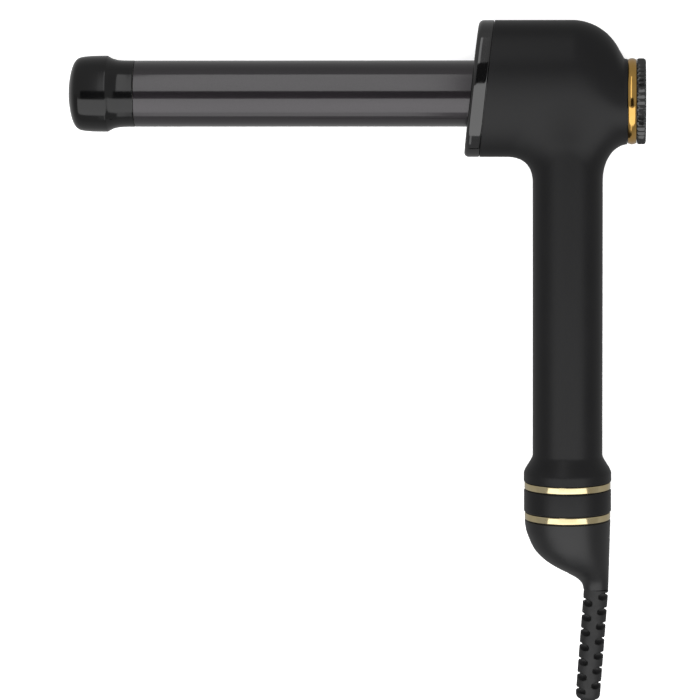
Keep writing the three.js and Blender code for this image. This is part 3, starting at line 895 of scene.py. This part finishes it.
# ---- Barrel, cool tip and collar ----
# A turned outline stops this short of its axis.
AXIS_R = 0.02
BARREL_INNER = 14.9


def arc(a0, r0, radius, start, end, steps):
    """Points of an arc about (a0, r0), from start to end in degrees."""
    return [
        (a0 + radius * math.cos(math.radians(t)), r0 + radius * math.sin(math.radians(t)))
        for t in np.linspace(start, end, steps + 1)
    ]


def add_barrel():
    outline = [(-209.1, BARREL_INNER), (-209.1, BARREL_R - 0.2), (-208.9, BARREL_R)]
    outline += [(x, BARREL_R) for x in np.linspace(-205, -35, 18)]
    outline += [(-31.0, BARREL_R), (-31.0, BARREL_INNER)]
    barrel = sharpen(turned_x("barrel", outline))
    finish_piece(barrel, "housing", "barrel_coating", ("barrel_tube",))


TIP_NOSE = [
    (-241.2, AXIS_R), (-241.15, 2.5), (-240.9, 5.5), (-240.45, 8.5), (-239.6, 12.2), (-238.4, 15.1),
    (-236.9, 16.9), (-234.7, 17.8), (-231.0, 18.2), (-227.0, 18.36), (-222.9, 18.4),
]
TIP_RIDGE = [(-222.5, 18.4), (-222.2, 18.34)]
TIP_NECK = [
    (-221.9, 18.15), (-220.5, 17.35), (-218.6, 16.65),
    (-216.5, 16.25), (-213.5, 16.08), (-209.4, 16.04),
]
TIP_INSIDE = [(-209.2, 15.9), (-209.2, BARREL_INNER), (-235.2, BARREL_INNER), (-235.2, AXIS_R)]


def add_tip():
    outline = [*catmull(TIP_NOSE, 6), *TIP_RIDGE, *catmull(TIP_NECK, 6), *TIP_INSIDE]
    tip = sharpen(turned_x("cool_tip", outline), 40)
    finish_piece(tip, "housing", "gloss_black", ("cool_tip_cap",))


def egg_loop(depth, inset, angles):
    """A loop of the head's outline at a depth behind the collar's leaning front."""
    y, z = head_loop(-40.0, inset, angles)
    return np.stack([COLLAR_FRONT + depth + LEAN * y, y, np.maximum(z, REST_Z)], axis=1)


def hole_loop(depth, radius, angles):
    """A round loop at a depth behind the collar's leaning front."""
    y = radius * np.cos(angles)
    return np.stack([COLLAR_FRONT + depth + LEAN * y, y, radius * np.sin(angles)], axis=1)


COLLAR_ROUND = 2.3
COLLAR_BACK_ROUND = 0.6


def add_collar():
    """A glossy egg-shaped plate with a well-rounded front edge and a hole for the barrel."""
    angles = around(256)
    hole = BARREL_R + 0.25
    rows = [hole_loop(0.35, hole, angles), hole_loop(0, BARREL_R + 0.6, angles)]
    rows.append(egg_loop(0, COLLAR_ROUND + 3, angles))
    for t in np.radians(np.linspace(0, 90, 9)):
        depth = COLLAR_ROUND * (1 - math.cos(t))
        rows.append(egg_loop(depth, COLLAR_ROUND * (1 - math.sin(t)), angles))
    for depth in np.linspace(3.2, COLLAR_THICK - 2 * COLLAR_BACK_ROUND, 4):
        rows.append(egg_loop(depth, 0, angles))
    for t in np.radians(np.linspace(0, 90, 5)):
        depth = COLLAR_THICK - COLLAR_BACK_ROUND * (1 - math.sin(t))
        rows.append(egg_loop(depth, COLLAR_BACK_ROUND * (1 - math.cos(t)), angles))
    lip, back = COLLAR_BACK_ROUND + 0.5, COLLAR_THICK + 2.4
    rows += [egg_loop(COLLAR_THICK, lip, angles), egg_loop(back, lip, angles), hole_loop(back, hole, angles)]
    collar = sharpen(skin("collar_plate", rows, closed=True), 50)
    finish_piece(collar, "housing", "gloss_black", ("front_collar",), "gloss_collar")


add_barrel()
add_tip()
add_collar()


# ---- Dial, its gold ring, hub and button ----
RIDGES = 42
RIDGE_DEPTH = 0.8
DIAL_R = 20.75
# X, radius and share of the ridges' depth, round the dial's section.
DIAL_SECTION = [
    (33.2, 9.3, 0), (33.2, 19.4, 0), (33.3, 20.2, 0.2), (33.7, 20.6, 0.8), (34.2, DIAL_R, 1),
    (36.2, DIAL_R, 1), (36.8, 20.65, 1), (37.3, 20.25, 0.6), (37.6, 19.5, 0.1), (37.6, 18.2, 0),
    (37.2, 17.2, 0), (36.9, 15.5, 0), (36.9, 10.5, 0), (37.1, 9.7, 0), (37.1, 9.3, 0),
]
POINTER_LOW = 36.6
POINTER_FACE = 37.15


def add_dial():
    """A disc with sharp straight ridges round its rim and a shallow dish in its face."""
    angles = around(RIDGES * 10)
    groove = 1 - np.abs((RIDGES * angles / math.pi) % 2 - 1)
    rows = []
    for x, radius, share in DIAL_SECTION:
        rows.append(ring_x(x, radius - RIDGE_DEPTH * share * groove, angles, DIAL_Y))
    dial = sharpen(skin("dial_knob", rows, closed=True), 50)
    finish_piece(dial, "dial", "knurled_black", ("temperature_dial",))


def add_pointer():
    """A raised gold pointer line on the dial's face."""
    rows = []
    for reach, half in ((11.0, 0.25), (11.3, 0.45), (16.4, 0.45), (16.8, 0.2)):
        y = DIAL_Y + reach
        face = half * 0.8
        rows.append(np.array([
            (POINTER_LOW, y, -half), (POINTER_FACE, y, -face),
            (POINTER_FACE, y, face), (POINTER_LOW, y, half),
        ]))
    pointer = sharpen(skin("dial_pointer", rows), 30)
    finish_piece(pointer, "dial", "gold_trim")


def add_dial_trim():
    """The gold ring behind the dial, with a convex face."""
    outline = [(28.9, 19.3)] + arc(30.9, 17.45, 3.35, 127, 53, 14) + [(32.9, 19.3)]
    ring = sharpen(turned_x("dial_gold_ring", outline, DIAL_Y), 50)
    finish_piece(ring, "housing", "gold_trim", ("dial_trim_ring",))


def add_neck_core():
    """The black disc that carries the gold ring and closes the neck behind the dial."""
    outline = [(26.0, 9.4), (26.0, 18.0), (28.65, 18.0), (28.65, 20.3), (28.87, 20.3), (28.87, 19.2)]
    outline += [(32.93, 19.2), (32.93, 20.2), (33.08, 20.2), (33.08, 9.4)]
    core = sharpen(turned_x("neck_core", outline, DIAL_Y, 128), 40)
    finish_piece(core, "housing", "gloss_black")


def add_hub():
    outline = [(20.0, 5.6), (20.0, 8.95), (36.4, 8.95)] + arc(36.6, 8.35, 0.6, 90, 0, 5)
    outline += [(37.2, 6.6), (36.7, 6.1), (36.2, 5.6)]
    hub = sharpen(turned_x("hub_cap", outline, DIAL_Y, 96), 40)
    finish_piece(hub, "housing", "gloss_black", ("dial_hub",))


def add_button():
    outline = [(25.0, AXIS_R), (25.0, 2.0), (32.0, 2.0), (32.0, 5.2), (36.6, 5.2)]
    outline += arc(36.6, 4.5, 0.7, 90, 0, 6) + [(37.1, 3.4), (36.9, 1.6), (36.85, AXIS_R)]
    button = sharpen(turned_x("button_cap", outline, DIAL_Y, 96), 40)
    finish_piece(button, "button", "gold_trim", ("power_button",))


add_dial()
add_pointer()
add_dial_trim()
add_neck_core()
add_hub()
add_button()


# ---- Rings and band, tail cap, strain relief ----
RING_BORE = 14.6


def band_piece(name, low, high, radius, edge, slot, look, node):
    """A turned band from y low to high, with its two outer edges rounded."""
    turns = np.linspace(0.2, 1.57, 6)
    shoulder = radius - edge
    outline = [(low, RING_BORE), (low, shoulder)]
    outline += [(low + edge - edge * math.cos(a), shoulder + edge * math.sin(a)) for a in turns]
    outline += [((low + high) / 2, radius)]
    outline += [(high - edge + edge * math.cos(a), shoulder + edge * math.sin(a)) for a in turns[::-1]]
    outline += [(high, shoulder), (high, RING_BORE)]
    piece = sharpen(turned_y(name, outline), 50)
    return finish_piece(piece, "housing", slot, (node,), look)


band_piece("gold_ring_upper", -192.5, -189.1, 20.95, 0.5, "gold_trim", "gold_pale", "upper_trim_ring")
band_piece("soft_band", -203.7, -192.8, 21.2, 0.7, "soft_touch_black", "soft_touch_black", "grip_band")
band_piece("gold_ring_lower", -207.4, -204.0, 20.85, 0.5, "gold_trim", "gold_pale", "lower_trim_ring")
GASKETS = (-188.95, -192.65, -203.85, -207.55)
GASKET_HALF = 0.11


def add_gaskets():
    """Thin black rings that close the joints between the band, its gold rings and the cap."""
    for i, middle in enumerate(GASKETS):
        low, high = middle - GASKET_HALF, middle + GASKET_HALF
        outline = [(low, RING_BORE), (low, 20.3), (high, 20.3), (high, RING_BORE)]
        gasket = sharpen(turned_y(f"joint_gasket_{i + 1}", outline, 128), 40)
        finish_piece(gasket, "housing", "soft_touch_black")


add_gaskets()

CAP_TOP = -207.7
CAP_END = -242.0
CAP_R = 20.9
CAP_END_BACK = 19.95
CAP_FRONT = [
    (-CAP_R, CAP_TOP), (-20.5, -211.0), (-19.5, -215.0), (-16.3, -222.0), (-11.5, -227.2),
    (-6.0, -230.9), (0.0, -234.0), (4.7, -236.8), (7.1, -239.4), (7.8, CAP_END),
]
RELIEF_AT = (13.95, -242.8)
RELIEF_LENGTH = 54.2
RELIEF_R = 6.0
RELIEF_END_R = 4.3
RELIEF_DOME = 3.2
RELIEF_DOME_RISE = 2.8
RELIEF_LEAN = math.radians(4.3)


def add_cap():
    """Round sections whose front edge closes in while the back edge runs nearly straight down."""
    angles = around(160)
    rows = [ring_y(CAP_TOP, CAP_R - 0.5, angles)]
    for x, y in catmull(CAP_FRONT, 8)[1:]:
        t = (CAP_TOP - y) / (CAP_TOP - CAP_END)
        back = CAP_R + (CAP_END_BACK - CAP_R) * t
        rows.append(ring_y(y, (back - x) / 2, angles, (back + x) / 2))
    cap = sharpen(skin("tail_cap_shell", rows), 50)
    finish_piece(cap, "tail", "soft_touch_black", ("tail_cap",), "soft_touch_cap")


SLOT_PITCH = 7.35
SLOT_SLANT = 1.3
SLOT_REACH = 78
LAST_SLOT = 6
# Where round the sleeve each row of slots is, and how far down its first slot is.
SLOT_ROWS = ((0.0, 1.2), (math.pi, 4.8))


def relief_depth(s, angles):
    """How deep the slots are at distance s down the sleeve: two staggered rows of rounded slots.

    off is the angle from a row's middle, in degrees. A slot is wider and deeper away from it.
    """
    depth = np.zeros(len(angles))
    for centre, first in SLOT_ROWS:
        off = np.abs(np.degrees(np.angle(np.exp(1j * (angles - centre)))))
        near = (s - SLOT_SLANT * np.sin(angles) - first) / SLOT_PITCH
        index = np.clip(np.round(near), 0, LAST_SLOT)
        along = np.abs(near - index) * SLOT_PITCH
        wide = 1.15 + 0.75 * step((off - 15) / 35)
        deep = 1.3 + 2.1 * step((off - 10) / 30)
        share = np.clip(1 - (along / wide) ** 2 - (off / SLOT_REACH) ** 5, 0, 1) ** 0.5
        depth = np.maximum(depth, deep * share)
    return depth


def add_relief():
    """The slotted sleeve, its rounded end, and the small nub where the cord leaves it."""
    angles = around(120)
    straight = RELIEF_LENGTH - RELIEF_DOME
    rows = [(s, RELIEF_R - relief_depth(s, angles)) for s in (-0.6, *np.arange(0, straight, 0.22))]
    for t in np.radians(np.linspace(0, 90, 8)):
        radius = RELIEF_END_R + (RELIEF_R - RELIEF_END_R) * math.cos(t)
        rows.append((straight + RELIEF_DOME_RISE * math.sin(t), radius))
    rows += [(RELIEF_LENGTH - 0.35, 3.7), (RELIEF_LENGTH + 0.35, 3.6), (RELIEF_LENGTH + 0.45, 2.6)]
    cosine, sine = math.cos(RELIEF_LEAN), math.sin(RELIEF_LEAN)
    loops = []
    for s, radius in rows:
        across = radius * np.cos(angles)
        loops.append(np.stack([
            RELIEF_AT[0] + across * cosine - s * sine,
            RELIEF_AT[1] - across * sine - s * cosine,
            radius * np.sin(angles),
        ], axis=1))
    relief = sharpen(skin("relief_sleeve", loops), 60)
    finish_piece(relief, "tail", "cord_rubber", ("strain_relief",))


add_cap()
add_relief()


# ---- Studio: a soft dome, an overhead sun, three softboxes and a pale floor ----
KEY = 1.5
KEY_SPREAD = math.radians(40)
KEY_TILT = math.radians(-5)
FLOOR_GLOW = 0.55
DOME_UPPER = 0.45
DOME_SIDE = 0.34
DOME_BELOW = 0.4
DOME_OPENING = 0.02
DOME_TURN = math.radians(12)
# The opening and the softboxes stand where the gloss pieces show the photograph's light bands.
# The dark opening over the table, in degrees from straight up along X and along Y.
OPENING_ALONG = (-24, 25)
OPENING_ASIDE = (-13, 13.5)
# Each softbox: (y, z) of its near and far edges, x of its left and right ends, radiance and turn.
SOFTBOXES = {
    "softbox_handle_side": ((-155, 700), (-900, 430), -830, 830, 1.55, 0.0),
    "softbox_barrel_head_side": ((165, 700), (1250, 350), -302, -76, 1.5, 0.6),
    "softbox_barrel_low": ((-905, 425), (-1120, 190), -310, -95, 1.1, 0.0),
}


def math_node(tree, operation, a, b):
    node = tree.nodes.new("ShaderNodeMath")
    node.operation = operation
    for socket, value in zip(node.inputs, (a, b)):
        if isinstance(value, (int, float)):
            socket.default_value = value
        else:
            tree.links.new(value, socket)
    return node.outputs["Value"]


def rise(tree, value, start, end, low=0.0, high=1.0):
    """low at start, high at end, and a smooth change between."""
    node = tree.nodes.new("ShaderNodeMapRange")
    node.interpolation_type = "SMOOTHSTEP"
    for name, number in (("From Min", start), ("From Max", end), ("To Min", low), ("To Max", high)):
        node.inputs[name].default_value = number
    tree.links.new(value, node.inputs["Value"])
    return node.outputs["Result"]


def window(tree, value, span):
    """1 inside a span of degrees, 0 outside, with edges a degree soft on either side."""
    low, high = span
    up = rise(tree, value, math.radians(low - 1), math.radians(low + 1))
    down = rise(tree, value, math.radians(high - 1), math.radians(high + 1), 1.0, 0.0)
    return math_node(tree, "MULTIPLY", up, down)


def blend_to(tree, value, level, share):
    """Mixes a value towards a level by a 0 to 1 share."""
    away = math_node(tree, "SUBTRACT", level, value)
    return math_node(tree, "ADD", value, math_node(tree, "MULTIPLY", away, share))


def add_dome():
    """A dim dome, dimmer on the handle's side, with a dark opening right over the table."""
    world = bpy.data.worlds.new("studio")
    bpy.context.scene.world = world
    world.use_nodes = True
    tree = world.node_tree
    direction = tree.nodes.new("ShaderNodeTexCoord").outputs["Generated"]
    split = tree.nodes.new("ShaderNodeSeparateXYZ")
    tree.links.new(direction, split.inputs["Vector"])
    x, y, z = split.outputs
    along = math_node(tree, "ARCTAN2", x, z)
    aside = math_node(tree, "ARCTAN2", y, z)
    level = rise(tree, aside, -DOME_TURN, DOME_TURN, DOME_SIDE, DOME_UPPER)
    across = window(tree, along, OPENING_ALONG)
    opening = math_node(tree, "MULTIPLY", across, window(tree, aside, OPENING_ASIDE))
    level = blend_to(tree, level, DOME_OPENING, opening)
    level = blend_to(tree, level, DOME_BELOW, rise(tree, z, 0.02, -0.08))
    tree.links.new(level, tree.nodes["Background"].inputs["Strength"])
    tree.nodes["Background"].inputs["Color"].default_value = (1, 1, 1, 1)


def add_key():
    """An even overhead light that reflections don't show."""
    data = bpy.data.lights.new("key", "SUN")
    data.energy = KEY
    data.angle = KEY_SPREAD
    key = bpy.data.objects.new("key", data)
    bpy.context.scene.collection.objects.link(key)
    key.rotation_euler = (KEY_TILT, 0, 0)
    key.visible_glossy = False


def add_softbox(name, near, far, left, right, radiance, turn):
    """A flat softbox over the table, in millimetres from the crossing, turned by degrees about Z."""
    data = bpy.data.lights.new(name, "AREA")
    data.shape = "RECTANGLE"
    data.size = (right - left) * MM
    data.size_y = math.dist(near, far) * MM
    data.energy = radiance * math.pi * data.size * data.size_y
    box = bpy.data.objects.new(name, data)
    bpy.context.scene.collection.objects.link(box)
    centre = ((left + right) / 2, (near[0] + far[0]) / 2, (near[1] + far[1]) / 2)
    box.location = CROSSING + Vector(centre) * MM
    tilt = math.atan2(far[1] - near[1], far[0] - near[0])
    if far[0] < near[0]:
        tilt -= math.pi
    box.rotation_euler = (tilt, 0, math.radians(turn))


def add_floor():
    """A pale floor that reflections and bounced light don't show."""
    mesh = bpy.data.meshes.new("floor")
    half = 6
    corners = [(-half, -half, 0), (half, -half, 0), (half, half, 0), (-half, half, 0)]
    mesh.from_pydata(corners, [], [(0, 1, 2, 3)])
    floor = bpy.data.objects.new("floor", mesh)
    bpy.context.scene.collection.objects.link(floor)
    material, _, bsdf = shader("floor")
    bsdf.inputs["Base Color"].default_value = (0.9, 0.9, 0.9, 1)
    bsdf.inputs["Roughness"].default_value = 0.9
    bsdf.inputs["Specular IOR Level"].default_value = 0.0
    bsdf.inputs["Emission Color"].default_value = (1, 1, 1, 1)
    bsdf.inputs["Emission Strength"].default_value = FLOOR_GLOW
    mesh.materials.append(material)
    floor.visible_glossy = False
    floor.visible_diffuse = False


add_dome()
add_key()
for name, setting in SOFTBOXES.items():
    add_softbox(name, *setting)
add_floor()
bpy.context.scene.view_settings.view_transform = "Standard"


def size_record():
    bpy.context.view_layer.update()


size_record()
